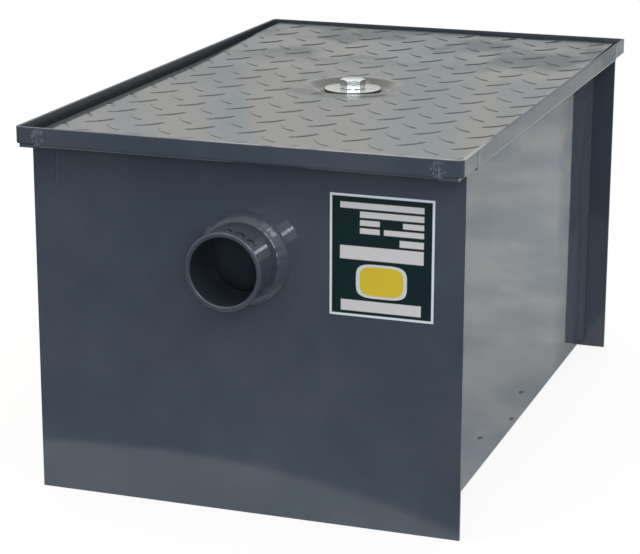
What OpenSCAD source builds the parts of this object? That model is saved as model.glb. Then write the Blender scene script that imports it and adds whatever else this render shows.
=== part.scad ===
// Grease trap: a folded steel trough closed by two flanged end plates, with a bolted checker plate cover.
// The origin is under the middle of the tank, on the floor. The inlet faces -Y, the outlet faces +Y.

/* [Tank] */
// Length between the outer faces of the two end plates
tank_len = 516; // [440:1:700]
// Outside width of the trough
trough_w = 296; // [240:1:360]
// Height from the floor to the underside of the rim ledge
ledge_h = 281.4; // [260:0.1:360]
// Thickness of the folded sheet
sheet_t = 2.5; // [2:0.1:4]
// Inside radius of every fold
bend_r = 1; // [0.8:0.1:3]
// How far each end plate stands past the trough wall
plate_overhang = 24.5; // [22:0.5:40]

/* [Rim] */
// Height of the rim above the underside of the ledge
rim_h = 15.6; // [13.5:0.1:20]
// How far the front and rear lips stand out from the end plates
rim_out_end = 22; // [20:0.5:32]
// How far the side lips stand past the edges of the end plates
rim_out_side = 3.7; // [1:0.1:6]
// Length of each corner piece along the front or rear lip
corner_leg_end = 19; // [12:0.5:40]
// Length of each corner piece along the side lip
corner_leg_side = 40; // [27:0.5:60]
// Radius at the bottom outer edge of each corner piece
corner_round = 1; // [0.5:0.1:1.8]

/* [Pipe stubs] */
// Outside diameter of the pipe stubs
stub_d = 60.3; // [50:0.1:75]
// Wall thickness of the pipe stubs
stub_wall = 3.9; // [2.5:0.1:5]
// Length of the pipe stubs outside the end plates
stub_len = 42; // [30:1:80]
// Height of the pipe axis above the floor
stub_z = 204; // [150:1:220]
// Bevel at the open end of each stub
stub_bevel = 1; // [0.5:0.1:2]
// Leg of the weld around the foot of each stub
stub_weld = 7; // [3:0.5:10]
// Diameter of the port cut in each end plate
port_d = 52.5; // [40:0.5:54]

/* [Cover] */
// Thickness of the cover plate
cover_t = 3; // [2.5:0.1:5]
// Gap between the cover and the side lips
cover_gap_side = 6; // [1:0.5:8]
// Gap between the cover and the end lips
cover_gap_end = 3; // [1:0.5:6]
// Distance between two treads that lie the same way
tread_pitch = 42.4; // [36:0.1:60]
// Length of one tread
tread_len = 27; // [18:0.5:29]
// Width of one tread
tread_w = 6.5; // [4:0.1:8]
// Height of the treads above the plate
tread_h = 0.6; // [0.4:0.1:2]
// Sideways place of the tread pattern
tread_shift_x = -11.9; // [-20:0.1:20]
// Lengthways place of the tread pattern
tread_shift_y = 4.1; // [-20:0.1:20]
// Diameter of the pressed dish at the cover's top
dish_d = 82; // [72:1:110]
// Diameter of the flat floor of the dish
dish_floor_d = 56; // [52:1:64]
// Depth of the dish
dish_depth = 6; // [4:0.5:10]
// Diameter of the bolt hole in the dish
bolt_hole_d = 14; // [13.4:0.1:16]

/* [Cover gasket] */
// Thickness of the gasket between ledge and cover
gasket_t = 3.6; // [1.5:0.1:5]
// Width of the gasket strip
gasket_w = 12; // [8:0.5:14]
// How far the gasket stays inside the cover's edge
gasket_inset = 1; // [0:0.5:4]

/* [Cover bolt] */
// Diameter of the bolt
bolt_d = 12.7; // [8:0.1:12.8]
// Length of the bolt under its head
bolt_len = 64; // [50:1:90]
// Width of the bolt head across its flats
head_af = 19; // [15:0.1:24]
// Height of the bolt head
head_h = 8; // [5:0.1:10]
// Turn of the bolt head about its axis
head_turn = 23; // [0:1:60]
// Diameter of the flat washer
washer_d = 49; // [30:0.5:50]
// Thickness of the flat washer
washer_t = 2.6; // [1.5:0.1:4]
// Diameter of the rubber seal under the washer
seal_d = 46; // [28:0.5:50]
// Thickness of the rubber seal
seal_t = 1.5; // [1:0.1:3]
// Gap around the bolt in the washer, the seal and the nut
bolt_clear = 0.4; // [0.3:0.05:0.6]

/* [Hold-down bar] */
// Width of the bar across the tank
bar_w = 40; // [26:1:50]
// Thickness of the bar
bar_t = 8; // [5:0.5:12]
// Height of the nut welded under the bar
nut_h = 11; // [8:0.5:14]
// Length of bolt that shows below the nut
bolt_show = 2.4; // [0.5:0.1:6]

/* [Baffles] */
// Distance from the front plate to the middle of the inlet baffle
inlet_baffle_in = 40; // [30:1:180]
// Distance from the rear plate to the middle of the outlet baffle
outlet_baffle_in = 105; // [80:1:140]
// Distance from the rear plate to the middle of the sediment weir
weir_in = 225; // [160:1:228]
// Height of the sediment weir above the floor
weir_h = 110; // [60:1:150]
// Thickness of the baffles and the weir
baffle_t = 3; // [2:0.1:4]
// Flow gap between the tank floor and each baffle
baffle_gap = 40; // [25:1:70]
// Distance from the ledge down to the top of each baffle
baffle_drop = 20; // [12:1:40]
// Length of the hand slot in each baffle
hand_slot_w = 90; // [70:1:120]
// Height of the hand slot
hand_slot_h = 25; // [20:1:32]
// Distance from the top of a baffle to the middle of its hand slot
hand_slot_drop = 34; // [28:1:50]
// Thickness of the baffle guides
guide_t = 2; // [1.5:0.1:3]
// How far the guides stand out from the wall
guide_depth = 14; // [10:0.5:20]
// Gap between a baffle and its guides
guide_clear = 0.5; // [0.3:0.1:1.5]

/* [Label] */
// Width of the data label
label_w = 80.5; // [40:0.5:110]
// Height of the data label
label_h = 93; // [50:0.5:120]
// Thickness of the data label
label_t = 0.4; // [0.2:0.1:1]
// Distance from the label to the right edge of the front plate
label_right = 23; // [5:0.5:40]
// Distance from the underside of the ledge down to the label
label_drop = 20.4; // [5:0.1:80]

/* [Hidden] */
$fn = 96;
fold_r = bend_r + sheet_t;
plate_w = trough_w + 2 * plate_overhang;
inside_w = trough_w - 2 * sheet_t;
inside_len = tank_len - 2 * sheet_t;
rim_half_w = plate_w / 2 + rim_out_side;
rim_half_len = tank_len / 2 + rim_out_end;
ledge_top = ledge_h + sheet_t;
rim_top = ledge_h + rim_h;
lip_half_w = rim_half_w - corner_leg_end;
lip_half_len = rim_half_len - corner_leg_side;
wall_straight = ledge_h - bend_r - fold_r;
ledge_straight = rim_half_w - fold_r - trough_w / 2 - bend_r;
lip_straight = rim_h - fold_r;
cover_half_w = rim_half_w - sheet_t - cover_gap_side;
cover_half_len = rim_half_len - sheet_t - cover_gap_end;
cover_z = ledge_top + gasket_t;
cover_top = cover_z + cover_t;
dish_floor_z = cover_top - dish_depth;
washer_z = dish_floor_z + seal_t;
head_z = washer_z + washer_t;
nut_z = head_z - bolt_len + bolt_show;
bar_z = nut_z + nut_h;
bolt_pass_d = bolt_d + 2 * bolt_clear;
baffle_top = ledge_h - baffle_drop;
baffle_w = inside_w - 2 * (guide_t + guide_clear);
guide_slot = baffle_t + 2 * guide_clear;
inlet_baffle_y = inlet_baffle_in - inside_len / 2;
outlet_baffle_y = inside_len / 2 - outlet_baffle_in;
weir_y = inside_len / 2 - weir_in;
paint = [0.25, 0.28, 0.32];
inside_paint = [0.22, 0.25, 0.28];
zinc = [0.75, 0.76, 0.77];
black_rubber = [0.09, 0.09, 0.09];
label_green = [0.1, 0.22, 0.2];

// Folded strip seen from its edge. Each step is a straight length and a fold: 1 left, -1 right, 0 none.
// The strip starts along +X and lies on the left of its path.
module folded_strip(steps, i = 0) {
    length = steps[i][0];
    fold = steps[i][1];
    if (length > 0) square([length, sheet_t]);
    if (fold == 1) {
        translate([length, fold_r]) intersection() {
            fold_ring();
            translate([0, -fold_r]) square(fold_r);
        }
        translate([length + fold_r, fold_r]) rotate(90) folded_strip(steps, i + 1);
    }
    if (fold == -1) {
        translate([length, -bend_r]) intersection() {
            fold_ring();
            square(fold_r);
        }
        translate([length + bend_r, -bend_r]) rotate(-90) folded_strip(steps, i + 1);
    }
}

// Full ring of sheet around one fold
module fold_ring() {
    difference() {
        circle(fold_r);
        circle(bend_r);
    }
}

// Carries an outline drawn in X and Z along Y, centred on the tank
module along_tank(length) {
    translate([0, length / 2, 0]) rotate([90, 0, 0]) linear_extrude(length) children();
}

// Carries an outline drawn in Y and Z across the tank, from one X to another
module across_tank(from, to) {
    translate([from, 0, 0]) rotate([90, 0, 90]) linear_extrude(to - from) children();
}

// Lip folded up from the end of a ledge, with a short run of the ledge before the fold.
// The ledge runs along +X and its fold starts at the origin.
module ledge_lip() {
    lap = 2 * sheet_t;
    translate([-lap, 0]) folded_strip([[lap, 1], [lip_straight, 0]]);
}

// One folded sheet: side walls and floor, with its top edges folded out to a ledge and up to a lip
module trough() {
    ledge = [ledge_straight, -1];
    wall = [wall_straight, 1];
    floor_run = [trough_w - 2 * fold_r, 1];
    wall_back = [wall_straight, -1];
    color(paint) union() {
        along_tank(inside_len) translate([-rim_half_w + fold_r, ledge_h])
            folded_strip([ledge, wall, floor_run, wall_back, [ledge_straight, 0]]);
        for (side = [0, 1]) mirror([side, 0, 0])
            along_tank(2 * lip_half_len) translate([rim_half_w - fold_r, ledge_h]) ledge_lip();
    }
}

// One folded end plate, drawn for the rear: a ledge and lip folded out at its top, square tabs at the
// corners where the lip is notched, and the port for the pipe
module end_plate() {
    upright = [ledge_h - bend_r, -1];
    ledge_run = rim_out_end - bend_r - fold_r;
    tab_w = plate_w / 2 - lip_half_w;
    difference() {
        union() {
            across_tank(-plate_w / 2, plate_w / 2) translate([tank_len / 2, 0]) rotate(90)
                folded_strip([upright, [ledge_run, 0]]);
            across_tank(-lip_half_w, lip_half_w) translate([rim_half_len - fold_r, ledge_h]) ledge_lip();
            for (side = [0, 1]) mirror([side, 0, 0])
                translate([lip_half_w, rim_half_len - 2 * fold_r, ledge_h]) cube([tab_w, 2 * fold_r, sheet_t]);
        }
        translate([0, tank_len / 2, stub_z]) rotate([90, 0, 0])
            cylinder(d = port_d, h = 4 * sheet_t, center = true);
    }
}

module front_plate() {
    color(paint) mirror([0, 1, 0]) end_plate();
}

module rear_plate() {
    color(paint) end_plate();
}

// Upright strip of a corner piece seen from its end, outer face at +X, with a rounded bottom outer edge
module corner_section() {
    height = rim_top - ledge_top;
    translate([0, corner_round]) square([sheet_t, height - corner_round]);
    square([sheet_t - corner_round, corner_round]);
    intersection() {
        translate([sheet_t - corner_round, corner_round]) circle(corner_round);
        square(sheet_t);
    }
}

// Bent corner strip, drawn for the rear right corner, that stands on the ledge and joins two lips
module rim_corner() {
    bend_x = rim_half_w - fold_r;
    bend_y = rim_half_len - fold_r;
    translate([0, 0, ledge_top]) union() {
        translate([bend_x + bend_r, bend_y, 0]) rotate([90, 0, 0])
            linear_extrude(bend_y - lip_half_len) corner_section();
        translate([bend_x, bend_y, 0]) rotate_extrude(angle = 90) translate([bend_r, 0]) corner_section();
        translate([lip_half_w, bend_y + bend_r, 0]) rotate([90, 0, 90])
            linear_extrude(bend_x - lip_half_w) corner_section();
    }
}

module rim_corner_front_left() {
    color(paint) rotate(180) rim_corner();
}

module rim_corner_front_right() {
    color(paint) mirror([0, 1, 0]) rim_corner();
}

module rim_corner_rear_left() {
    color(paint) mirror([1, 0, 0]) rim_corner();
}

module rim_corner_rear_right() {
    color(paint) rim_corner();
}

// Pipe stub with its foot weld, drawn for the rear plate
module pipe_stub() {
    r = stub_d / 2;
    bore_r = r - stub_wall;
    translate([0, tank_len / 2, stub_z]) rotate([-90, 0, 0]) rotate_extrude()
        polygon([[bore_r, 0], [r + stub_weld, 0], [r, stub_weld], [r, stub_len - stub_bevel],
            [r - stub_bevel, stub_len], [bore_r + stub_bevel, stub_len], [bore_r, stub_len - stub_bevel]]);
}

module inlet_stub() {
    color(paint) mirror([0, 1, 0]) pipe_stub();
}

module outlet_stub() {
    color(paint) pipe_stub();
}

// Flat rubber ring on the ledge, under the edge of the cover
module cover_gasket() {
    outer = 2 * [cover_half_w - gasket_inset, cover_half_len - gasket_inset];
    inner = outer - 2 * [gasket_w, gasket_w];
    color(black_rubber) translate([0, 0, ledge_top]) linear_extrude(gasket_t) difference() {
        square(outer, center = true);
        square(inner, center = true);
    }
}

// Outline of one raised tread: two arcs that meet in points
module tread() {
    arc_r = (tread_len * tread_len + tread_w * tread_w) / (4 * tread_w);
    intersection() {
        translate([0, arc_r - tread_w / 2]) circle(arc_r);
        translate([0, tread_w / 2 - arc_r]) circle(arc_r);
    }
}

// Treads over the whole cover, turned one way and the other by turns, cut off at the edges and the dish
module tread_pattern() {
    across = ceil(cover_half_w / tread_pitch) + 1;
    along = ceil(cover_half_len / tread_pitch) + 1;
    reach = tread_len / 2;
    for (ix = [-across:across], iy = [-along:along], way = [0, 1]) {
        x = tread_shift_x + (ix + way / 2) * tread_pitch;
        y = tread_shift_y + (iy + way / 2) * tread_pitch;
        inside = abs(x) < cover_half_w - reach && abs(y) < cover_half_len - reach;
        on_plate = abs(x) < cover_half_w + reach / 2 && abs(y) < cover_half_len + reach / 2;
        off_dish = norm([x, y]) > dish_d / 2 + reach;
        if (inside && off_dish) translate([x, y]) rotate(45 + 90 * way) tread();
        if (!inside && on_plate) intersection() {
            translate([x, y]) rotate(45 + 90 * way) tread();
            square(2 * [cover_half_w, cover_half_len], center = true);
        }
        if (!off_dish && norm([x, y]) > dish_d / 2 - reach / 2) difference() {
            translate([x, y]) rotate(45 + 90 * way) tread();
            circle(d = dish_d);
        }
    }
}

// Height of the dish's pressed wall at a share of the way in from its rim, 0 at the rim and 1 at the floor
function dish_fall(share) = dish_depth * (1 - cos(180 * share)) / 2;

// Checker plate with a pressed dish for the bolt head
module cover() {
    steps = 10;
    rim_r = dish_d / 2;
    run = (dish_d - dish_floor_d) / 2;
    top_line = [for (i = [0:steps]) [rim_r - run * i / steps, cover_top - dish_fall(i / steps)]];
    under_line = [for (i = [steps:-1:0]) [rim_r - run * i / steps, cover_z - dish_fall(i / steps)]];
    hole_line = [[bolt_hole_d / 2, dish_floor_z], [bolt_hole_d / 2, dish_floor_z - cover_t]];
    color(paint) union() {
        translate([0, 0, cover_z]) linear_extrude(cover_t) difference() {
            square(2 * [cover_half_w, cover_half_len], center = true);
            circle(d = dish_d);
        }
        rotate_extrude() polygon(concat(top_line, hole_line, under_line));
        translate([0, 0, cover_top]) linear_extrude(tread_h) tread_pattern();
    }
}

// Flat ring around the bolt
module ring(d, height) {
    linear_extrude(height) difference() {
        circle(d = d);
        circle(d = bolt_pass_d);
    }
}

module bolt_seal() {
    color(black_rubber) translate([0, 0, dish_floor_z]) ring(seal_d, seal_t);
}

module cover_washer() {
    color(zinc) translate([0, 0, washer_z]) ring(washer_d, washer_t);
}

// Hexagon bar of a given width across its flats, with a flat facing +Y
module hexagon(af, height) {
    cylinder(d = af / cos(30), h = height, $fn = 6);
}

// Hexagon bolt: the head's top corners are turned off to a cone, and the tip is chamfered
module cover_bolt() {
    face_r = 0.47 * head_af;
    reach = head_af;
    fall = (reach - face_r) * tan(30);
    tip = bolt_d / 8;
    color(zinc) translate([0, 0, head_z]) union() {
        intersection() {
            rotate(head_turn) hexagon(head_af, head_h);
            rotate_extrude() polygon([[0, 0], [reach, 0], [reach, head_h - fall], [face_r, head_h], [0, head_h]]);
        }
        rotate_extrude() polygon([[0, 0], [bolt_d / 2, 0], [bolt_d / 2, tip - bolt_len],
            [bolt_d / 2 - tip, -bolt_len], [0, -bolt_len]]);
    }
}

// Flat bar welded between the side walls, which the cover bolt pulls on
module hold_down_bar() {
    color(inside_paint) translate([0, 0, bar_z]) linear_extrude(bar_t) difference() {
        square([inside_w, bar_w], center = true);
        circle(d = bolt_hole_d);
    }
}

module weld_nut() {
    color(inside_paint) translate([0, 0, nut_z]) difference() {
        hexagon(head_af, nut_h);
        translate([0, 0, -nut_h]) cylinder(d = bolt_pass_d, h = 3 * nut_h);
    }
}

// Flat plate across the tank, given its outline in X and Z
module cross_plate(y) {
    translate([0, y, 0]) along_tank(baffle_t) children();
}

// Loose baffle with a hand slot near its top
module baffle(y) {
    slot_r = hand_slot_h / 2;
    slot_half = hand_slot_w / 2 - slot_r;
    cross_plate(y) difference() {
        translate([-baffle_w / 2, baffle_gap]) square([baffle_w, baffle_top - baffle_gap]);
        translate([0, baffle_top - hand_slot_drop]) union() {
            square([2 * slot_half, hand_slot_h], center = true);
            for (side = [-1, 1]) translate([side * slot_half, 0]) circle(slot_r);
        }
    }
}

module inlet_baffle() {
    color(inside_paint) baffle(inlet_baffle_y);
}

module outlet_baffle() {
    color(inside_paint) baffle(outlet_baffle_y);
}

// Channel on the right wall that a baffle slides down in, with a foot that the baffle stands on
module guide(y) {
    outer = guide_slot + 2 * guide_t;
    translate([inside_w / 2 - guide_depth, y - outer / 2, baffle_gap - guide_t]) difference() {
        cube([guide_depth, outer, baffle_top - baffle_gap + guide_t]);
        translate([-guide_t, guide_t, guide_t]) cube([guide_depth, guide_slot, baffle_top]);
    }
}

module inlet_guide_left() {
    color(inside_paint) mirror([1, 0, 0]) guide(inlet_baffle_y);
}

module inlet_guide_right() {
    color(inside_paint) guide(inlet_baffle_y);
}

module outlet_guide_left() {
    color(inside_paint) mirror([1, 0, 0]) guide(outlet_baffle_y);
}

module outlet_guide_right() {
    color(inside_paint) guide(outlet_baffle_y);
}

// Low plate welded to the floor and walls, with its bottom corners cut off to clear the folds
module sediment_weir() {
    half = inside_w / 2;
    cut = bend_r;
    color(inside_paint) cross_plate(weir_y) polygon([[-half, weir_h], [-half, sheet_t + cut],
        [-half + cut, sheet_t], [half - cut, sheet_t], [half, sheet_t + cut], [half, weir_h]]);
}

// Thin printed label on the front plate
module data_label() {
    color(label_green) translate([plate_w / 2 - label_right - label_w, -tank_len / 2 - label_t,
        ledge_h - label_drop - label_h]) cube([label_w, label_t, label_h]);
}

trough();
front_plate();
rear_plate();
rim_corner_front_left();
rim_corner_front_right();
rim_corner_rear_left();
rim_corner_rear_right();
inlet_stub();
outlet_stub();
cover_gasket();
cover();
bolt_seal();
cover_washer();
cover_bolt();
hold_down_bar();
weld_nut();
inlet_baffle();
inlet_guide_left();
inlet_guide_right();
sediment_weir();
outlet_baffle();
outlet_guide_left();
outlet_guide_right();
data_label();
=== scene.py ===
# Grease trap: a folded and welded steel tank in glossy dark enamel, with pipe stubs and a checker plate
# cover. Every piece is in metres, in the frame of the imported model: inlet at -Y, outlet at +Y, +Z up.
import math

import bmesh
import bpy
import numpy as np
from mathutils import Matrix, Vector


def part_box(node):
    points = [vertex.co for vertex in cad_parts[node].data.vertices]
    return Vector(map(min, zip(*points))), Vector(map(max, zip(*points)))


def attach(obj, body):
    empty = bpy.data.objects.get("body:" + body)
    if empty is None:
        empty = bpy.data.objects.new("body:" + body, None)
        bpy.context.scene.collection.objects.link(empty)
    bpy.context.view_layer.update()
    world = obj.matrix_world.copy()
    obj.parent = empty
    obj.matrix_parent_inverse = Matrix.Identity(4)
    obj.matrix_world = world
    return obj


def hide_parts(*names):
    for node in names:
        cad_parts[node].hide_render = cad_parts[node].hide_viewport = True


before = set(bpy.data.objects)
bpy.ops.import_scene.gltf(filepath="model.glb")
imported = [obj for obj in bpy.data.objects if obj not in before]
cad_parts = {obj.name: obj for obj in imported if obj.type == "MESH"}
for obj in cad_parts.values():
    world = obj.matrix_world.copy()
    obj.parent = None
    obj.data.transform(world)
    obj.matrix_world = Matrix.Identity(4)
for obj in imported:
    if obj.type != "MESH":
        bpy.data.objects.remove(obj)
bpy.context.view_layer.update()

# Trough: one steel sheet folded to two walls and a floor, its top edges folded out to a ledge and up to a
# lip. It is sprayed with the rest of the tank in thick glossy blue-grey enamel, which shows the sheet's
# slight waves.


class Shade:
    """A shader socket. Its operators add Math nodes, and node() adds a node of any other kind."""

    def __init__(self, tree, socket=None):
        self.tree = tree
        self.socket = socket

    def node(self, kind, settings=None, inputs=None, output=0):
        """Adds a node, makes its settings first, then sets or links its inputs, and wraps one output."""
        made = self.tree.nodes.new(kind)
        for name, value in (settings or {}).items():
            setattr(made, name, value)
        for key, value in (inputs or {}).items():
            if isinstance(value, Shade):
                self.tree.links.new(value.socket, made.inputs[key])
            else:
                made.inputs[key].default_value = value
        return Shade(self.tree, made.outputs[output])

    def axes(self):
        """The X, Y and Z parts of a vector."""
        parts = self.node("ShaderNodeSeparateXYZ", {}, {0: self}).socket.node.outputs
        return [Shade(self.tree, part) for part in parts]

    def math(self, operation, *others, turned=False):
        """Adds a Math node on this value and the others. Turned, this value comes last."""
        values = (*others, self) if turned else (self, *others)
        return self.node("ShaderNodeMath", {"operation": operation}, dict(enumerate(values)))

    def __add__(self, other):
        return self.math("ADD", other)

    def __sub__(self, other):
        return self.math("SUBTRACT", other)

    def __rsub__(self, other):
        return self.math("SUBTRACT", other, turned=True)

    def __mul__(self, other):
        return self.math("MULTIPLY", other)

    def __truediv__(self, other):
        return self.math("DIVIDE", other)

    def __rtruediv__(self, other):
        return self.math("DIVIDE", other, turned=True)

    def __pow__(self, other):
        return self.math("POWER", other)

    def __rpow__(self, other):
        return self.math("POWER", other, turned=True)

    def __abs__(self):
        return self.math("ABSOLUTE")

    __radd__ = __add__
    __rmul__ = __mul__


def ramp_up(value, low, high):
    """0 where the value is at or below low, 1 at or above high, and an S-curve between."""
    settings = {"interpolation_type": "SMOOTHSTEP"}
    return value.node("ShaderNodeMapRange", settings, {"Value": value, "From Min": low, "From Max": high})


def blend_colour(mask, first, second):
    """The first colour where the mask is 0 and the second where it is 1."""
    return mask.node("ShaderNodeMix", {"data_type": "RGBA"}, {0: mask, 6: first, 7: second}, 2)


def noise(place, scale, detail=2.0, roughness=0.5, stretch=(1, 1, 1), turn=(0, 0, 0)):
    """Smooth noise from 0 to 1, with its pattern turned and then stretched along each axis."""
    moved = place.node("ShaderNodeMapping", {"vector_type": "TEXTURE"},
                       {"Vector": place, "Rotation": turn, "Scale": stretch})
    return place.node("ShaderNodeTexNoise", {},
                      {"Vector": moved, "Scale": scale, "Detail": detail, "Roughness": roughness})


def object_place(material):
    """The object's own coordinates, to draw on a material with."""
    return Shade(material.node_tree).node("ShaderNodeTexCoord", output="Object")


def start_material(name):
    """A new material, its Principled shader and the place on the object."""
    material = bpy.data.materials.new(name)
    material.use_nodes = True
    return material, material.node_tree.nodes["Principled BSDF"], object_place(material)


def feed(shader, **values):
    """Links or sets a shader's inputs. Underscores stand for the spaces in their names."""
    for name, value in values.items():
        socket = shader.inputs[name.replace("_", " ")]
        if isinstance(value, Shade):
            value.tree.links.new(value.socket, socket)
        else:
            socket.default_value = value


def mix_over(material, share, second):
    """Lets a second shader show over the material's own by the given share."""
    tree = material.node_tree
    own = Shade(tree, tree.nodes["Principled BSDF"].outputs[0])
    mixed = share.node("ShaderNodeMixShader", {}, {0: share, 1: own, 2: second})
    tree.links.new(mixed.socket, tree.nodes["Material Output"].inputs["Surface"])


def raise_surface(height):
    """A bump whose height is given in millimetres."""
    return height.node("ShaderNodeBump", {}, {"Height": height, "Distance": 0.001})


ENAMEL_TONES = ((0.047, 0.058, 0.079, 1), (0.063, 0.074, 0.094, 1))
RUBBED_EDGE_HIGHLIGHT = (0.5, 0.49, 0.44, 1)
LIP_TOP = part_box("trough")[1].z


def enamel(name, extra_height=None, extra_colour=None, dull=None, wave=0.5, roughness=0.045,
           tones=ENAMEL_TONES):
    """Glossy enamel: a dark blue-grey tone that drifts, long waves in the sheet and a fine sprayed grain.
    Where the sheet's cut edge shows along the top of the lips, the paint is thin and dull. At the inlet end
    that edge is coloured pale, more so towards the right: partly paint worn off by the cover's handling,
    partly a painted highlight."""
    material, shader, place = start_material(name)
    x, y, z = place.axes()
    drift = noise(place, 9.0, 3.0)
    smears = noise(place, 26.0, 3.0, 0.6, (1, 5, 1), (math.radians(38), 0, 0))
    colour = blend_colour(ramp_up(drift * 0.6 + smears * 0.4, 0.35, 0.7), *tones)
    waves = noise(place, 5.5, 1.0) * wave
    grain = noise(place, 420.0, 2.0) * 0.006
    height = waves + grain
    if extra_height:
        height = height + extra_height(place)
    if extra_colour:
        colour = extra_colour(colour, place)
    cut_edge = ramp_up(z, LIP_TOP - 0.0006, LIP_TOP - 0.0001)
    inlet_end = 1.0 - ramp_up(y, -0.26, -0.16)
    # Painted highlight, partly wear: a pale colour on the lips' cut edge at the inlet end, stronger to the
    # right.
    rubbed_and_highlit = cut_edge * inlet_end * ramp_up(noise(place, 45.0, 3.0), 0.3, 0.55)
    brightness = 0.12 + 0.43 * ramp_up(x, -0.12, 0.02)
    colour = blend_colour(rubbed_and_highlit * brightness, colour, RUBBED_EDGE_HIGHLIGHT)
    haze = ramp_up(smears, 0.45, 0.8) * 0.03 + noise(place, 60.0, 4.0) * 0.015
    gloss = roughness + haze + cut_edge * 0.45
    if dull:
        gloss = gloss + dull(place) * 0.25
    feed(shader, Base_Color=colour, Roughness=gloss, IOR=1.5, Normal=raise_surface(height))
    return material


def finish_node(name, material):
    """Gives a carried-over node its finish."""
    for material_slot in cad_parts[name].material_slots:
        material_slot.material = material


WALL_DENTS = ((0.0239, 0.0252), (-0.0076, 0.0111), (-0.1114, 0.0291))
DENT_SIZE = (0.016, 0.0035)
DENT_SPOT_SIZE = (0.012, 0.0017)
DENT_SLANT = 0.3


def dent_mask(place, length, height):
    """Three slanted marks low on the right wall: 1 in the middle of each, fading to 0 at an ellipse."""
    x, y, z = place.axes()
    on_wall = ramp_up(x, 0.143, 0.147)
    total = 0.0
    for dent_y, dent_z in WALL_DENTS:
        across = (y - dent_y) / length
        up = (z - dent_z + DENT_SLANT * (y - dent_y)) / height
        total = total + (1.0 - ramp_up(across * across + up * up, 0.0, 1.0)) * on_wall
    return total


LEAN_START = 0.14
LEAN_BEND = 50.0
LEAN_SLOPE = 0.078


def wall_form(place):
    """Long slanted ripples, shallow dents, and a rear end that leans out.
    It leans by a square of the distance over the bend, in millimetres, and evenly after it."""
    y = place.axes()[1]
    ripples = noise(place, 30.0, 4.0, 0.6, (1, 4, 1), (math.radians(-19), 0, 0)) * 0.26
    past = ((y - LEAN_START) * 1000.0).math("MAXIMUM", 0.0)
    bent = past.math("MINIMUM", LEAN_BEND)
    lean = bent * bent * (LEAN_SLOPE / (2 * LEAN_BEND)) + (past - bent) * LEAN_SLOPE
    return ripples + dent_mask(place, *DENT_SIZE) * -0.2 + lean


PALE_SMEAR = (0.075, 0.09, 0.11, 1)
LIP_INSIDE_SHADE = (0.03, 0.036, 0.043, 1)


def left_lip_inside(place):
    """1 on the inner face of the left lip, from the ledge up to the lip's cut edge."""
    x, y, z = place.axes()
    on_face = ramp_up(x, -0.1755, -0.1745) * (1.0 - ramp_up(x, -0.16, -0.155))
    above_ledge = ramp_up(z, 0.2845, 0.2855)
    below_edge = 1.0 - ramp_up(z, LIP_TOP - 0.0012, LIP_TOP - 0.0006)
    return on_face * above_ledge * below_edge


def wall_marks(colour, place):
    """Faint pale smears down the walls, slanted and long, and painted shade inside the left lip."""
    smear = noise(place, 30.0, 2.0, 0.5, (1, 1, 7), (math.radians(-24), 0, 0))
    colour = blend_colour(ramp_up(smear, 0.42, 0.72) * 0.5, colour, PALE_SMEAR)
    # Painted shade: the left lip's inner face, between the lip and the cover, is coloured darker.
    return blend_colour(left_lip_inside(place), colour, LIP_INSIDE_SHADE)


wall_enamel = enamel("wall_enamel", wall_form, wall_marks, left_lip_inside, wave=0.6)
# A dull near-black shader shows over the enamel in the middle of each dent, darkening it.
DENT_BLACK = (0.02, 0.02, 0.022, 1)
wall_place = object_place(wall_enamel)
dent_black_shader = wall_place.node("ShaderNodeBsdfDiffuse", {}, {"Color": DENT_BLACK})
mix_over(wall_enamel, dent_mask(wall_place, *DENT_SPOT_SIZE) * 0.65, dent_black_shader)
finish_node("trough", wall_enamel)

# End plates: flat sheet, wider than the trough, folded out at the top to a ledge and lip.
# The seam welds behind them pull the sheet a little into upright swellings, the left one plainer.
# High on the left seam, where the sheet is drawn in, a painted shade line and a painted highlight line
# run beside each other. The rear plate is coloured darker than the front, as painted shade.
SEAM_X = 0.149
SEAM_PRINT = 0.0024
CREASE_SHADE_X = -0.1535
CREASE_HIGHLIGHT_X = -0.1515
CREASE_SHADE = (0.018, 0.023, 0.03, 1)
CREASE_HIGHLIGHT = (0.1, 0.12, 0.14, 1)
STUB_Z = 0.204
BORE_R = 0.0264
BORE_SHADE = (0.026, 0.034, 0.042, 1)
REAR_SHADE_TONES = ((0.035, 0.044, 0.06, 1), (0.046, 0.056, 0.071, 1))


def seam_print(place):
    """A narrow swelling along each seam weld behind the plate, higher on the left."""
    x = place.axes()[0]
    off = (abs(x) - SEAM_X) / SEAM_PRINT
    height = 0.1 - 0.085 * ramp_up(x, -0.01, 0.01)
    return (1.0 - ramp_up(off * off, 0.0, 1.0)) * height


def darken_bore(colour, place):
    """Painted shade in the ports and in the pipes' bores: dark inside a radius about the pipes' axis."""
    x, y, z = place.axes()
    up = z - STUB_Z
    # Painted shade inside the bore, where the inside of the pipe lies in shadow.
    inside = 1.0 - ramp_up(x * x + up * up, BORE_R ** 2, (BORE_R + 0.0004) ** 2)
    return blend_colour(inside, colour, BORE_SHADE)


def front_marks(colour, place):
    """Painted shade and highlight: a thin dark line and a pale one beside it, high on the left seam, where
    the weld drew the sheet in. Both wander a little and fade downwards. The port has the bores' painted
    shade."""
    x, y, z = place.axes()
    wandered = x + (noise(place, 45.0, 2.0) - 0.5) * 0.009
    high = ramp_up(z, 0.225, 0.27) * (1.0 - ramp_up(z, 0.28, 0.282))
    shown = high * ramp_up(noise(place, 70.0), 0.3, 0.55)
    dark = (1.0 - ramp_up(abs(wandered - CREASE_SHADE_X), 0.0003, 0.0012)) * shown
    pale = (1.0 - ramp_up(abs(wandered - CREASE_HIGHLIGHT_X), 0.0003, 0.0016)) * shown
    # Painted shade and painted highlight of the drawn-in crease.
    colour = blend_colour(dark * 0.5, colour, CREASE_SHADE)
    colour = blend_colour(pale * 0.4, colour, CREASE_HIGHLIGHT)
    return darken_bore(colour, place)


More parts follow.
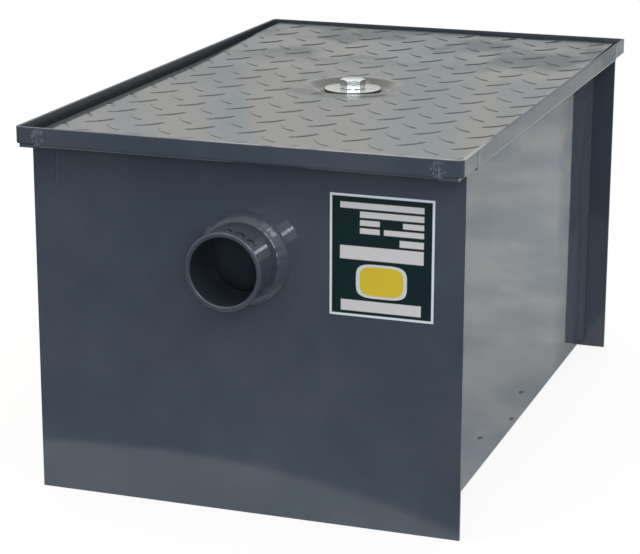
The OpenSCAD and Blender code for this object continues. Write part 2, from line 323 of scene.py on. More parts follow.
plate_enamel = enamel("plate_enamel", seam_print, front_marks, wave=0.45)
finish_node("front_plate", plate_enamel)
# Painted shade: the rear plate has darker tones than the front.
rear_shade_enamel = enamel("rear_shade_enamel", seam_print, darken_bore, wave=0.45, tones=REAR_SHADE_TONES)
finish_node("rear_plate", rear_shade_enamel)

# Rim corners: four short strips bent round the corners of the rim and welded between the notched lips.
# Each end has an upright bead on its outer face, dressed down by hand and painted over.
CORNER_WAYS = ((-1, -1), (1, -1), (-1, 1), (1, 1))
END_BEAD = (0.013, 0.00035)
SIDE_BEAD = (0.008, 0.00025)
BRUSH_GLINT = (0.26, 0.29, 0.3, 1)
rim_low, rim_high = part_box("rim_corner_rear_right")


def corner_inside(place):
    """1 on the inner faces of the left corners, which carry on the left lip's inner face."""
    y = place.axes()[1]
    return left_lip_inside(place) * (1.0 - ramp_up(abs(y), rim_high.y - 0.0017, rim_high.y - 0.0007))


def corner_marks(colour, place):
    """The same painted shade as on the inner face of the left lip."""
    return blend_colour(corner_inside(place), colour, LIP_INSIDE_SHADE)


rim_enamel = enamel("rim_enamel", None, corner_marks, corner_inside, wave=0.2)
for corner in ("front_left", "front_right", "rear_left", "rear_right"):
    finish_node("rim_corner_" + corner, rim_enamel)


def weld_lumps(place):
    """The uneven skin of a weld: lumps of two sizes."""
    return noise(place, 210.0, 2.0) * 0.5 + noise(place, 620.0, 1.0) * 0.1


def brush_glints(colour, place):
    """Painted glints along brush scratches: thin pale lines that wander over a dressed weld, where a noise
    crosses its middle value.
    """
    off_middle = abs(noise(place, 260.0, 3.0, 0.6, (1, 1, 2.2)) - 0.5)
    # Painted glints on the dressed weld.
    return blend_colour((1.0 - ramp_up(off_middle, 0.004, 0.03)) * 0.5, colour, BRUSH_GLINT)


def skin(name, grid, wrap=(False, False), sharp=math.radians(45)):
    """Makes one closed mesh of a grid of points, or of a stack of such grids.
    Each point joins the next along both parameters, and a wrapped parameter joins its end to its start."""
    stack = np.asarray(grid, float)
    stack = stack.reshape((-1,) + stack.shape[-3:])
    number = np.arange(stack[..., 0].size).reshape(stack.shape[:3])
    if wrap[0]:
        number = np.concatenate([number, number[:, :1]], axis=1)
    if wrap[1]:
        number = np.concatenate([number, number[:, :, :1]], axis=2)
    near, far = number[:, :-1], number[:, 1:]
    quads = np.stack([near[..., :-1], far[..., :-1], far[..., 1:], near[..., 1:]], -1)
    mesh = bpy.data.meshes.new(name)
    mesh.from_pydata(stack.reshape(-1, 3).tolist(), [], quads.reshape(-1, 4).tolist())
    work = bmesh.new()
    work.from_mesh(mesh)
    bmesh.ops.remove_doubles(work, verts=work.verts, dist=1e-6)
    bmesh.ops.recalc_face_normals(work, faces=work.faces)
    work.to_mesh(mesh)
    work.free()
    mesh.shade_smooth()
    mesh.set_sharp_from_angle(angle=sharp)
    piece = bpy.data.objects.new(name, mesh)
    bpy.context.scene.collection.objects.link(piece)
    return piece


def dress(piece, material, body, slot, *nodes):
    """Gives a new piece its finish and the body that it moves with, and hides the nodes it stands for.
    The slot is not used.
    """
    piece.data.materials.append(material)
    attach(piece, body)
    if nodes:
        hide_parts(*nodes)


def straight_path(start, finish, step):
    """Points about a step apart on a straight line."""
    start, finish = np.array(start, float), np.array(finish, float)
    return np.linspace(start, finish, max(2, int(np.linalg.norm(finish - start) / step)))


def weld_bead(path, across, out, width, height, root, ripple, pitch, seed):
    """A weld bead: a low round profile carried along a path, tapered at its ends, with curved ripples.
    The swell at each point is a sine of the length along the path, delayed towards the bead's edges,
    and its underside reaches down to the root."""
    chance = np.random.default_rng(seed)
    step = np.linalg.norm(np.diff(path, axis=0), axis=1)
    run = np.concatenate([[0.0], np.cumsum(step)])
    turn = np.linspace(0, 2 * np.pi, 12, endpoint=False)
    phase = 2 * np.pi * (run[:, None] / pitch - 0.45 * (1 - np.sin(turn)))
    wander = sum(np.sin(run * f + chance.uniform(0, 6.3)) for f in (260.0, 610.0, 1370.0)) / 3
    swell = 1 + ripple * np.sin(phase) + 0.25 * wander[:, None]
    ends = np.clip(np.minimum(run, run[-1] - run) / (0.6 * width), 0, 1)
    taper = np.sqrt(1 - (1 - ends) ** 2)[:, None]
    side = np.cos(turn) * width / 2 * (1 + 0.12 * wander[:, None]) * taper
    lift = np.where(np.sin(turn) > 0, height * swell, root) * np.sin(turn) * taper
    return path[:, None] + side[..., None] * np.array(across) + lift[..., None] * np.array(out)


def upright_bead(x, y, across, out, size, seed):
    """A low bead straight up the outer face of the rim, at one end of a corner strip."""
    up = straight_path((x, y, rim_low.z - 0.001), (x, y, rim_high.z - 0.001), 0.0004)
    return weld_bead(up, across, out, *size, root=0.0003, ripple=0.15, pitch=0.0042, seed=seed)


rim_welds = []
for index, (x_way, y_way) in enumerate(CORNER_WAYS):
    rim_welds.append(upright_bead(x_way * rim_low.x, y_way * rim_high.y, (1, 0, 0), (0, y_way, 0),
                                  END_BEAD, index))
    rim_welds.append(upright_bead(x_way * rim_high.x, y_way * rim_low.y, (0, 1, 0), (x_way, 0, 0),
                                  SIDE_BEAD, 10 + index))
rim_weld = skin("rim_welds", np.stack(rim_welds), (False, True))
weld_enamel = enamel("weld_enamel", weld_lumps, brush_glints, wave=0.1)
dress(rim_weld, weld_enamel, "tank", "tank_paint")

# Seam welds: long fillet beads in the corners where the trough's walls meet the end plates.
# They were laid by hand, so their width and ripples wander.
SEAM_LEG = 0.006
SEAM_FOOT = 0.004
SEAM_TOP = 0.279
SEAM_SHADE_TONES = ((0.024, 0.031, 0.044, 1), (0.032, 0.04, 0.052, 1))
WALL_X = 0.148
DIAGONAL = math.sqrt(0.5)
plate_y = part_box("trough")[1].y
seam_welds = []
for index, (x_way, y_way) in enumerate(CORNER_WAYS):
    x = x_way * (WALL_X + SEAM_LEG / 2)
    y = y_way * (plate_y - SEAM_LEG / 2)
    up = straight_path((x, y, SEAM_FOOT), (x, y, SEAM_TOP), 0.0009)
    across = (x_way * DIAGONAL, y_way * DIAGONAL, 0)
    out = (x_way * DIAGONAL, -y_way * DIAGONAL, 0)
    seam_welds.append(weld_bead(up, across, out, 1.42 * SEAM_LEG, 0.0009, root=0.6 * SEAM_LEG,
                                ripple=0.02, pitch=0.0065, seed=20 + index))
seam_weld = skin("seam_welds", np.stack(seam_welds), (False, True))
# Painted shade: the beads in the corners get darker tones than the walls around them.
seam_enamel = enamel("seam_enamel", wave=0.1, roughness=0.4, tones=SEAM_SHADE_TONES)
dress(seam_weld, seam_enamel, "tank", "tank_paint")

# Pipe stubs: short lengths of 2 inch steel pipe butted against the end plates over their ports.
# A heavy fillet weld runs round each foot, and black marks on top of the inlet show the way of the flow.
INK_BLACK = (0.006, 0.006, 0.007, 1)
STUB_R = 0.03015
CHEVRON_Y = -0.2885
CHEVRONS = (0.001, 0.0115, 0.022)
WELD_LEG = 0.007
plate_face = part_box("data_label")[1].y


def flow_marks(colour, place):
    """Three stencilled chevrons on the top of the inlet pipe that point at the tank, and painted shade
    in the bore.
    Each is a slanted band on both sides of its middle, with places round the pipe as lengths of arc."""
    x, y, z = place.axes()
    round_by = x.math("ARCTAN2", z - STUB_Z) * STUB_R
    ink = 0.0
    for middle in CHEVRONS:
        off = abs(round_by - middle)
        band = abs(y - CHEVRON_Y + off * 1.1)
        ink = ink + (1.0 - ramp_up(band, 0.0014, 0.0019)) * (1.0 - ramp_up(off, 0.0036, 0.0041))
    on_top = ramp_up(z, STUB_Z + 0.005, STUB_Z + 0.006)
    return darken_bore(blend_colour(ink * on_top, colour, INK_BLACK), place)


def stub_mouth(place):
    """1 on the cut end of each pipe, which the saw left dull."""
    return ramp_up(abs(place.axes()[1]), 0.2985, 0.2992)


def smooth_lumps(place):
    """A weld's lumps, mostly levelled by a thick coat of enamel."""
    return weld_lumps(place) * 0.35


def foot_weld(way):
    """A fillet weld round a pipe's foot: a flat round profile carried round a circle, which faces half
    outwards and half along the pipe. Its swell is a fine sine round the circle, with a slow wander."""
    around = np.linspace(0, 2 * np.pi, 700, endpoint=False)
    turn = np.linspace(0, 2 * np.pi, 16, endpoint=False)
    radial = np.stack([np.cos(around), np.zeros_like(around), np.sin(around)], -1)
    along = np.array([0, way, 0])
    middle = np.array([0, way * (0.5 * WELD_LEG - plate_face), STUB_Z])
    path = radial * (STUB_R + 0.5 * WELD_LEG) + middle
    out = (radial + along) * DIAGONAL
    across = (radial - along) * DIAGONAL
    chance = np.random.default_rng(40 + way)
    wander = sum(np.sin(around * k + chance.uniform(0, 6.3)) for k in (3, 7, 13, 29)) / 4
    phase = 90 * around[:, None] + 3 * wander[:, None] - 1.6 * np.sin(turn)
    swell = 1 + 0.03 * np.sin(phase) + 0.25 * wander[:, None]
    side = np.cos(turn) * 0.78 * WELD_LEG * (1 + 0.1 * wander[:, None])
    lift = np.where(np.sin(turn) > 0, np.sin(turn), 0.4 * np.sin(turn)) * 0.0009 * swell
    return path[:, None] + side[..., None] * across[:, None] + lift[..., None] * out[:, None]


stub_enamel = enamel("stub_enamel", extra_colour=flow_marks, dull=stub_mouth, wave=0.1)
for stub in ("inlet_stub", "outlet_stub"):
    finish_node(stub, stub_enamel)
smooth_weld_enamel = enamel("smooth_weld_enamel", smooth_lumps, wave=0.1, roughness=0.2)
for name, way in (("inlet_weld", -1), ("outlet_weld", 1)):
    dress(skin(name, foot_weld(way), (True, True)), smooth_weld_enamel, "tank", "tank_paint")

# Inner pieces: the bar and its nut, the baffles, their guides and the weir, in the same enamel on the
# inside, coloured darker as painted shade. They are cut from flat sheet and bar, and welded or slid in
# before the cover goes on.
INNER_SHADE_TONES = ((0.028, 0.036, 0.044, 1), (0.036, 0.045, 0.053, 1))
inner_shade_enamel = enamel("inner_shade_enamel", wave=0.3, roughness=0.22, tones=INNER_SHADE_TONES)
for inner in ("hold_down_bar", "weld_nut", "inlet_baffle", "inlet_guide_left", "inlet_guide_right",
              "sediment_weir", "outlet_baffle", "outlet_guide_left", "outlet_guide_right"):
    finish_node(inner, inner_shade_enamel)

# Cover gasket: a flat ring of black rubber that lies on the ledge under the cover's edge.
# Its matt skin has a fine grain and a little grey bloom.
RUBBER_TONES = ((0.014, 0.014, 0.015, 1), (0.03, 0.03, 0.031, 1))


def rubber(name):
    """Matt black rubber with a fine grain and a grey bloom in patches."""
    material, shader, place = start_material(name)
    bloom = ramp_up(noise(place, 40.0, 4.0), 0.4, 0.75)
    grain = raise_surface(noise(place, 900.0) * 0.05)
    feed(shader, Base_Color=blend_colour(bloom, *RUBBER_TONES), Roughness=0.6 + bloom * 0.15, Normal=grain)
    return material


finish_node("cover_gasket", rubber("gasket_rubber"))

# Cover: checker plate, rolled with raised lens-shaped treads and cut through them at its edges.
# A round dish is pressed into its middle for the bolt, which flattens the treads around it, and its rear
# end has sprung up a little.
cover_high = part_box("cover")[1]
TREAD_PITCH = 0.0424
TREAD_LEN = 0.027
TREAD_W = 0.0065
TREAD_H = 0.0006
TREAD_FLANK = 0.0009
TREAD_SHIFT = np.array([-0.0119, 0.0041])
TREAD_ROOT = -0.0006
COVER_T = 0.003
DISH_R = 0.041
DISH_FLOOR_R = 0.028
DISH_DEPTH = 0.006
BOLT_HOLE_R = 0.007
EDGE_ROUND = 0.0006
SPRING = 0.0043
SPRING_START = 0.045
COVER_TONES = ((0.05, 0.053, 0.054, 1), (0.068, 0.069, 0.067, 1))
COVER_REAR_SHADE = (0.013, 0.018, 0.022, 1)
DISH_PAINTED_LIGHT = (0.125, 0.12, 0.105, 1)
half_plate = np.array([cover_high.x, cover_high.y])
plate_top = cover_high.z - TREAD_H


def dish_drop(radius):
    """How far the plate lies below its top: a cosine slope between the dish's rim and its floor."""
    share = np.clip((DISH_R - radius) / (DISH_R - DISH_FLOOR_R), 0, 1)
    return DISH_DEPTH * (1 - np.cos(np.pi * share)) / 2


def spring(flat):
    """How far the plate stands proud of flat: it rises in an S-curve to its rear end, most on the left."""
    back = np.clip((flat[..., 1] - SPRING_START) / (half_plate[1] - SPRING_START), 0, 1)
    left = 0.9 - 0.1 * flat[..., 0] / half_plate[0]
    return SPRING * back * back * (3 - 2 * back) * left


def plate_surface(edge_points):
    """The plate as rings from the bolt hole out to the edge and back underneath.
    A ring is a mix of a circle and the rectangle, by how far out it lies, with rounded outer edges."""
    sides = np.array([[-1, -1], [1, -1], [1, 1], [-1, 1], [-1, -1]])
    share = np.linspace(0, 4, 4 * edge_points, endpoint=False)
    low = share.astype(int)
    edge = sides[low] + (sides[low + 1] - sides[low]) * (share - low)[:, None]
    rim = edge * half_plate
    angle = np.arctan2(rim[:, 1], rim[:, 0])
    circle = np.stack([np.cos(angle), np.sin(angle)], -1)
    slope = np.linspace(DISH_FLOOR_R, DISH_R, 16)[1:]
    inner = np.concatenate([np.linspace(BOLT_HOLE_R, DISH_FLOOR_R, 4), slope])
    arc = np.linspace(0, np.pi / 2, 4)
    inset = EDGE_ROUND * (1 - np.sin(arc))
    fall = EDGE_ROUND * (1 - np.cos(arc))
    rings = inner[:, None, None] * circle
    outer = rim - inset[:, None, None] * edge
    mix = np.linspace(0, 1, 30)[1:-1, None, None]
    flat = np.concatenate([rings, rings[-1] * (1 - mix) + outer[0] * mix, outer])
    level = np.zeros(mix.size)
    top_fall = np.concatenate([dish_drop(inner), level, fall])
    under_fall = np.concatenate([dish_drop(inner), level, -fall])
    top_z = plate_top - top_fall[:, None] + spring(flat)
    under_z = plate_top - COVER_T - under_fall[:, None] + spring(flat)
    top = np.concatenate([flat, top_z[..., None]], -1)
    under = np.concatenate([flat, under_z[..., None]], -1)
    return np.concatenate([top, under[::-1]])


def treads():
    """All raised treads: lens outlines from two arcs, in two directions by turns, with flat tops and
    steep flanks of one width. A point past the plate's edge slides back to it along its tread, and the
    treads sink into the plate around the dish, towards both ends and by the left edge."""
    reach = np.ceil(half_plate / TREAD_PITCH).astype(int) + 1
    index = np.stack(np.meshgrid(np.arange(-reach[0], reach[0] + 1), np.arange(-reach[1], reach[1] + 1),
                                 np.array([0, 1]), indexing="ij"), -1).reshape(-1, 3)
    centre = TREAD_SHIFT + (index[:, :2] + index[:, 2:] / 2) * TREAD_PITCH
    on_plate = np.all(np.abs(centre) < half_plate + TREAD_LEN / 4, axis=1)
    off_dish = np.hypot(*centre.T) > DISH_R - 0.002
    centre = centre[on_plate & off_dish]
    lean = np.pi / 4 + np.pi / 2 * index[on_plate & off_dish, 2]
    u = np.sin(np.linspace(-np.pi / 2, np.pi / 2, 9))
    side = np.array([-1, -1, 1, 1, 0])
    in_by = np.array([0, TREAD_FLANK, TREAD_FLANK, 0, 1])
    buried = np.array([0, 0, 0, 0, 1])
    arc_r = (TREAD_LEN ** 2 + TREAD_W ** 2) / (4 * TREAD_W)
    half_w = np.sqrt(arc_r ** 2 - (u * TREAD_LEN / 2) ** 2) - arc_r + TREAD_W / 2
    length = np.broadcast_to(u[:, None] * TREAD_LEN / 2, (u.size, side.size))
    inward = np.minimum(in_by, half_w[:, None])
    width = side * (half_w[:, None] - inward)
    top = TREAD_H * np.clip(inward / TREAD_FLANK, 0, 1)
    cosine = np.cos(lean)[:, None, None]
    sine = np.sin(lean)[:, None, None]
    x = centre[:, 0, None, None] + length * cosine - width * sine
    y = centre[:, 1, None, None] + length * sine + width * cosine
    slant = np.tan(lean)[:, None, None]
    past_x = x - np.clip(x, -half_plate[0], half_plate[0])
    x, y = x - past_x, y - past_x * slant
    past_y = y - np.clip(y, -half_plate[1], half_plate[1])
    x, y = np.clip(x - past_y * slant, -half_plate[0], half_plate[0]), y - past_y
    radius = np.hypot(x, y)
    by_dish = np.clip((radius - DISH_R + 0.003) / 0.010, 0, 1)
    by_front = np.clip((half_plate[1] + y - 0.008) / 0.042, 0, 1)
    by_rear = np.clip((half_plate[1] - y + 0.005) / 0.03, 0, 1)
    by_left = np.clip((half_plate[0] + x - 0.004) / 0.012, 0, 1)
    fade = by_dish * by_front * by_rear * by_left
    lift = np.where(buried, TREAD_ROOT, top * fade * fade * (3 - 2 * fade) - 0.00005)
    flat = np.stack([x, y], -1)
    return np.concatenate([flat, (plate_top - dish_drop(radius) + lift + spring(flat))[..., None]], -1)


def cover_marks(colour, place):
    """Painted shade towards the rear, and painted light, pale and brownish, on the slope of the dish."""
    x, y, z = place.axes()
    # Painted shade: darker towards the rear.
    colour = blend_colour(ramp_up(y, 0.05, 0.17) * 0.9, colour, COVER_REAR_SHADE)
    in_dish = 1.0 - ramp_up((x * x + y * y) ** 0.5, DISH_R - 0.006, DISH_R + 0.002)
    # Painted light: the dish's slope is coloured pale.
    return blend_colour(in_dish * 0.75, colour, DISH_PAINTED_LIGHT)


def dull_film(place):
    """Patches of a dull greasy film on the rear half, and a worn patch in front of the dish."""
    x, y, z = place.axes()
    film = ramp_up(noise(place, 16.0, 3.0), 0.4, 0.6) * ramp_up(y, 0.02, 0.16)
    by_dish = 1.0 - ramp_up(x * x + y * y, (DISH_R + 0.01) ** 2, (DISH_R + 0.03) ** 2)
    return film + by_dish * ramp_up(0.0 - y, 0.015, 0.035)


cover_enamel = enamel("cover_enamel", extra_colour=cover_marks, dull=dull_film, roughness=0.06,
                      tones=COVER_TONES)
plate = skin("checker_plate", plate_surface(48), (True, True))
dress(plate, cover_enamel, "cover", "cover_paint", "cover")
tread = skin("plate_treads", treads(), (False, True), math.radians(25))
dress(tread, cover_enamel, "cover", "cover_paint")

# Bolt seal and washer: a rubber ring under a wide flat zinc plated washer, which press on the dish's floor.
# The washer was stamped, so its edges are rounded, and its rim is coloured dark as painted shade.
HOLE_R = 0.00675
SEAL_ROUND = 0.0005
WASHER_ROUND = 0.0007
WASHER_ZINC = (0.6, 0.59, 0.55)
WASHER_EDGE_SHADE = (0.1, 0.1, 0.095, 1)


def revolve(profile, steps=96):
    """A profile of radius and height turned once round the bolt's axis."""
    angle = np.linspace(0, 2 * np.pi, steps, endpoint=False)
    radius, height = np.asarray(profile, float).T
    x = radius * np.cos(angle)[:, None]
    y = radius * np.sin(angle)[:, None]
    return np.stack([x, y, np.broadcast_to(height, x.shape)], -1)


def ring_profile(box, round_by):
    """The section of a flat ring that fills a box round the bolt hole, with its four edges rounded."""
    low, high = box
    arc = np.linspace(0, np.pi / 2, 5)
    bend = round_by * np.stack([np.sin(arc), np.cos(arc)], -1)
    corners = []
    for centre, signs, order in (((high.x, high.z), (1, 1), 1), ((high.x, low.z), (1, -1), -1),
                                 ((HOLE_R, low.z), (-1, -1), 1), ((HOLE_R, high.z), (-1, 1), -1)):
        middle = np.array(centre) - round_by * np.array(signs)
        corners.append(middle + bend[::order] * np.array(signs))
    return np.concatenate(corners)


def zinc(name, tone, shaded_edge_r=1.0):
    """Bright zinc plating: a pale metal with a cloudy sheen, fine rubbing marks and a few dull spots.
    Beyond the given radius its rim is coloured dark and made dull, as painted shade."""
    material, shader, place = start_material(name)
    x, y, z = place.axes()
    cloud = noise(place, 90.0, 4.0)
    marks = noise(place, 500.0, 3.0, 0.6, (1, 6, 1), (0, 0, math.radians(30)))
    colour = blend_colour(ramp_up(cloud, 0.35, 0.7), (*tone, 1), (*[0.8 * c for c in tone], 1))
    edge = ramp_up((x * x + y * y) ** 0.5, shaded_edge_r - 0.0004, shaded_edge_r)
    # Painted shade: the washer's rim is darkened.
    feed(shader, Base_Color=blend_colour(edge, colour, WASHER_EDGE_SHADE), Metallic=1.0,
         Roughness=0.14 + cloud * 0.12 + marks * 0.06 + edge * 0.2,
         Normal=raise_surface(marks * 0.01 + cloud * 0.03))
    return material


seal = skin("rubber_seal", revolve(ring_profile(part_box("bolt_seal"), SEAL_ROUND)), (True, True))
dress(seal, rubber("seal_rubber"), "cover", "seal_rubber", "bolt_seal")
washer_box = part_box("cover_washer")
washer = skin("flat_washer", revolve(ring_profile(washer_box, WASHER_ROUND)), (True, True))
washer_zinc = zinc("zinc_washer", WASHER_ZINC, washer_box[1].x - 0.0003)
dress(washer, washer_zinc, "washer", "zinc_washer", "cover_washer")

# Cover bolt: a forged hexagon bolt, zinc plated, whose rolled thread runs in the nut under the bar.
# The corners of its head are turned off to a shallow cone, and the head has a round bearing face.
HEAD_AF = 0.019
HEAD_TURN = math.radians(23)
BOLT_R = 0.00635
THREAD_PITCH = 0.001954
THREAD_DEPTH = 0.0011
BOLT_ZINC = (0.78, 0.79, 0.8)
bolt_low, bolt_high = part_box("cover_bolt")
head_base = washer_box[1].z


def bolt_head():
    """Rings of the head: flat top, cone, hexagon sides and bearing face.
    A hexagon's radius at an angle is half its width over the cosine of the angle from the nearest flat."""
    angle = np.linspace(0, 2 * np.pi, 144, endpoint=False)
    from_flat = np.mod(angle - HEAD_TURN, np.pi / 3) - np.pi / 6
    hexagon = HEAD_AF / 2 / np.cos(from_flat)
    head_h = bolt_high.z - head_base
    flat_r = 0.47 * HEAD_AF
    bearing_r = 0.92 * HEAD_AF / 2
    cone = head_h - np.clip(hexagon - flat_r, 0, None) * math.tan(math.pi / 6)
    rows = [(0, head_h), (flat_r * 0.97, head_h), (flat_r, head_h - 0.0001),
            (hexagon - 0.0001, cone + 0.00005), (hexagon, cone - 0.0001),
            (hexagon, 0.0006), (hexagon - 0.0002, 0.0004), (bearing_r, 0.0004),
            (bearing_r, 0), (0.9 * BOLT_R, 0), (0, 0.001)]
    radius = np.stack([np.broadcast_to(row[0], angle.shape) for row in rows])
    height = np.stack([np.broadcast_to(row[1], angle.shape) for row in rows])
    return np.stack([radius * np.cos(angle), radius * np.sin(angle), head_base + height], -1)


def bolt_thread():
    """The shank: a radius that falls and rises once a pitch along a helix, with a chamfered tip."""
    angle = np.linspace(0, 2 * np.pi, 48, endpoint=False)
    length = head_base - bolt_low.z
    down = np.linspace(0, length, int(8 * length / THREAD_PITCH))
    wave = np.mod(down[:, None] / THREAD_PITCH + angle / (2 * np.pi), 1)
    tooth = np.clip(1.25 * (1 - np.abs(2 * wave - 1)), 0, 1)
    cut = THREAD_DEPTH * np.clip(down / 0.002 - 0.5, 0, 1)[:, None]
    tip = np.clip(length - down, 0, None)[:, None] + BOLT_R - 0.0016
    radius = np.minimum(BOLT_R - cut * tooth, tip)
    z = np.broadcast_to((head_base - down)[:, None], radius.shape)
    middle = np.zeros((1, angle.size))
    radius = np.concatenate([middle, radius, middle])
    z = np.concatenate([z[:1], z, z[-1:]])
    return np.stack([radius * np.cos(angle), radius * np.sin(angle), z], -1)


bolt_zinc = zinc("zinc_bolt", BOLT_ZINC)
head = skin("bolt_head", bolt_head(), (False, True), math.radians(25))
dress(head, bolt_zinc, "bolt", "zinc_bolt", "cover_bolt")
thread = skin("bolt_thread", bolt_thread(), (False, True), math.radians(50))
dress(thread, bolt_zinc, "bolt", "zinc_bolt")

# Data label: a printed film stuck to the front plate, dark green with a pale border and blank boxes.
# A yellow patch with rounded corners and a pale edge lies in its lower half.
FILM_TONES = ((0.004, 0.016, 0.017, 1), (0.006, 0.019, 0.02, 1))
BORDER_WHITE = (0.66, 0.7, 0.74, 1)
BOX_WHITE = (0.6, 0.57, 0.56, 1)
PATCH_EDGE = (0.6, 0.6, 0.58, 1)
PATCH_YELLOW = (0.64, 0.46, 0.035, 1)
INSIDE_BORDER = (0.022, 0.978, 0.019, 0.981)
BOXES = ((0.1, 0.9, 0.065, 0.115), (0.29, 0.9, 0.135, 0.185), (0.29, 0.48, 0.205, 0.25),
         (0.7, 0.9, 0.205, 0.25), (0.29, 0.48, 0.27, 0.315), (0.52, 0.9, 0.27, 0.315),
         (0.67, 0.9, 0.345, 0.4), (0.1, 0.9, 0.42, 0.53), (0.11, 0.88, 0.865, 0.955))
PRINT_EDGE = 0.004
label_low, label_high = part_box("data_label")


def in_range(value, low, high):
    """1 where a value lies between two others, with crisp ends."""
    half = (high - low) / 2
    return 1.0 - ramp_up(abs(value - (low + high) / 2), half - PRINT_EDGE, half + PRINT_EDGE)


def label_film(name):
    """Fields of colour by shares of the label's width and height: rectangles, and a patch whose outline
    is a sum of fourth powers."""
    material, shader, place = start_material(name)
    x, y, z = place.axes()
    u = (x - label_low.x) / (label_high.x - label_low.x)
    v = (label_high.z - z) / (label_high.z - label_low.z)

    def field(left, right, top, bottom):
        """1 inside a rectangle."""
        return in_range(u, left, right) * in_range(v, top, bottom)

    colour = blend_colour(noise(place, 60.0), *FILM_TONES)
    colour = blend_colour(1.0 - field(*INSIDE_BORDER), colour, BORDER_WHITE)
    for box in BOXES:
        colour = blend_colour(field(*box), colour, BOX_WHITE)
    patch = abs((u - 0.5) / 0.245) ** 4.0 + abs((v - 0.7) / 0.14) ** 4.0
    colour = blend_colour(1.0 - ramp_up(patch, 0.96, 1.04), colour, PATCH_EDGE)
    colour = blend_colour(1.0 - ramp_up(patch, 0.5, 0.56), colour, PATCH_YELLOW)
    feed(shader, Base_Color=colour, Roughness=0.3 + noise(place, 200.0) * 0.08, Specular_IOR_Level=0.25,
         Normal=raise_surface(noise(place, 30.0) * 0.1))
    return material


finish_node("data_label", label_film("label_film"))

# Stage: a sheet of white paper under a soft white sky, with lamps overhead, at the right and in front.
# The paper ends in a curve a little in front of the tank, where the bare dark floor shows in the enamel,
# and its folds and the sky's clouds show in the enamel alone.
WHITE = (1, 1, 1, 1)
PAPER_TONES = ((1.0, 0.995, 0.95, 1), (0.65, 0.71, 0.75, 1))
PAPER_SHADE = (0.4, 0.4, 0.4, 1)
BARE_FLOOR = (0.09, 0.1, 0.12, 1)
CLOUD_TONES = ((1.04, 1.01, 0.945, 1), (0.83, 0.91, 0.965, 1))
SKY_WHITE = (0.94, 0.95, 0.94, 1)
FLOOR_HALF = 9.0
FLOOR_Z = -0.0002
floor_corner = np.array([-FLOOR_HALF, FLOOR_HALF])
floor_x, floor_y = np.meshgrid(floor_corner, floor_corner, indexing="ij")
floor_points = np.stack([floor_x, floor_y, np.full_like(floor_x, FLOOR_Z)], -1).reshape(-1, 3)
floor_mesh = bpy.data.meshes.new("floor")
floor_mesh.from_pydata(floor_points.tolist(), [], [(0, 2, 3, 1)])
floor = bpy.data.objects.new("floor", floor_mesh)
bpy.context.scene.collection.objects.link(floor)


def shown_rays(place):
    """Two masks: rays straight from the camera, and rays that come by a mirror or through glass."""
    seen = place.node("ShaderNodeLightPath", output="Is Camera Ray")
    glossy = place.node("ShaderNodeLightPath", output="Is Glossy Ray")
    through = place.node("ShaderNodeLightPath", output="Is Transmission Ray")
    return seen, glossy.math("MAXIMUM", through)


floor_paper, floor_shader, floor_place = start_material("floor_paper")
x, y, z = floor_place.axes()
seen, mirrored = shown_rays(floor_place)
from_bend = x + 0.127
paper_edge = (from_bend * from_bend * 1.08 - 0.365).math("MINIMUM", 0.0)
bare = (1.0 - ramp_up(y - paper_edge, -0.01, 0.012)) * (1.0 - seen)
broad_folds = noise(floor_place, 7.0, 4.0)
creases = noise(floor_place, 12.0, 3.0, 0.6, (1, 2.6, 1), (0, 0, math.radians(-35)))
folds = ramp_up(broad_folds * 0.6 + creases * 0.4, 0.4, 0.6) * mirrored
shaded = (ramp_up(y, -0.25, 0.1) * 0.26 + ramp_up(y, 0.9, 1.5) * 0.36) * mirrored
floor_tone = blend_colour(folds, *PAPER_TONES)
floor_tone = blend_colour(shaded, floor_tone, PAPER_SHADE)
floor_tone = blend_colour(bare, floor_tone, BARE_FLOOR)
feed(floor_shader, Base_Color=floor_tone, Roughness=0.9, Specular_IOR_Level=0.0)
glow_tone = blend_colour(seen, floor_tone, WHITE)
glow = floor_place.node("ShaderNodeEmission", {}, {"Color": glow_tone, "Strength": 1.0})
mix_over(floor_paper, seen * 0.85 + mirrored * 0.3, glow)
floor_mesh.materials.append(floor_paper)

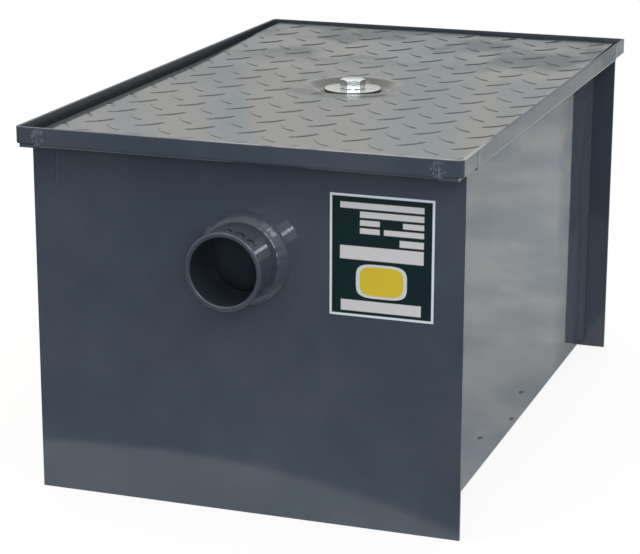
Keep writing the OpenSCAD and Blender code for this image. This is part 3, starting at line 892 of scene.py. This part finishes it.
world = bpy.data.worlds.new("soft_sky")
world.use_nodes = True
bpy.context.scene.world = world
sky = Shade(world.node_tree).node("ShaderNodeTexCoord", output="Generated")
seen, mirrored = shown_rays(sky)
room = 0.6 + ramp_up(sky.axes()[2], 0.135, 0.255) * 0.45
cloudy = ramp_up(noise(sky, 34.0, 3.0, 0.5, (1, 1, 2.2)), 0.4, 0.6)
sky_tone = blend_colour(mirrored, SKY_WHITE, blend_colour(cloudy, *CLOUD_TONES))
sky_tone = blend_colour(seen, sky_tone, WHITE)
feed(world.node_tree.nodes["Background"], Color=sky_tone, Strength=seen.math("MAXIMUM", room))


def set_place(thing, right, up, place):
    """Puts a lamp or camera at a place, with its own X and Y along two directions."""
    turned = np.column_stack([right, up, np.cross(right, up), place])
    thing.matrix_world = Matrix(np.vstack([turned, (0, 0, 0, 1)]).tolist())


def soft_lamp(name, place, aim, size, watts, colour):
    """A square lamp at a place, turned to face a point."""
    data = bpy.data.lights.new(name, "AREA")
    data.size = size
    data.energy = watts
    data.color = colour
    lamp = bpy.data.objects.new(name, data)
    bpy.context.scene.collection.objects.link(lamp)
    back = np.array(place, float) - np.array(aim, float)
    back /= np.linalg.norm(back)
    right = np.cross((0.0, 1.0, 0.1), back)
    right /= np.linalg.norm(right)
    set_place(lamp, right, np.cross(back, right), place)


FRONT_AIM = (0, -0.25, 0.2)
soft_lamp("overhead_lamp", (-0.2, -0.3, 2.2), (0, 0, 0.2), 1.4, 9.0, (1.0, 0.95, 0.88))
soft_lamp("right_lamp", (1.35, -1.2, 1.75), FRONT_AIM, 0.45, 6.0, (0.84, 0.92, 1.0))
soft_lamp("front_lamp", (0.95, -2.65, 0.78), FRONT_AIM, 1.1, 21.0, (0.86, 0.93, 1.0))
soft_lamp("window_lamp", (1.07, -2.79, 0.825), FRONT_AIM, 0.18, 6.0, (0.84, 0.92, 1.0))

# Camera: it stands in front of the inlet end, to the right of it and a little above the cover.
# Its place, turn and lens put the tank's edges where the photograph has them.
CAMERA_PLACE = (0.570863, -1.713331, 0.628427)
CAMERA_RIGHT = (0.94357844, 0.33113928, 0.0025507)
CAMERA_UP = (-0.09182872, 0.2542491, 0.96276938)
camera_data = bpy.data.cameras.new("camera")
camera_data.sensor_fit = "HORIZONTAL"
camera_data.sensor_width = 36.0
camera_data.lens = 121.21
camera = bpy.data.objects.new("camera", camera_data)
bpy.context.scene.collection.objects.link(camera)
set_place(camera, CAMERA_RIGHT, CAMERA_UP, CAMERA_PLACE)
bpy.context.scene.camera = camera
bpy.context.scene.view_settings.view_transform = "Standard"
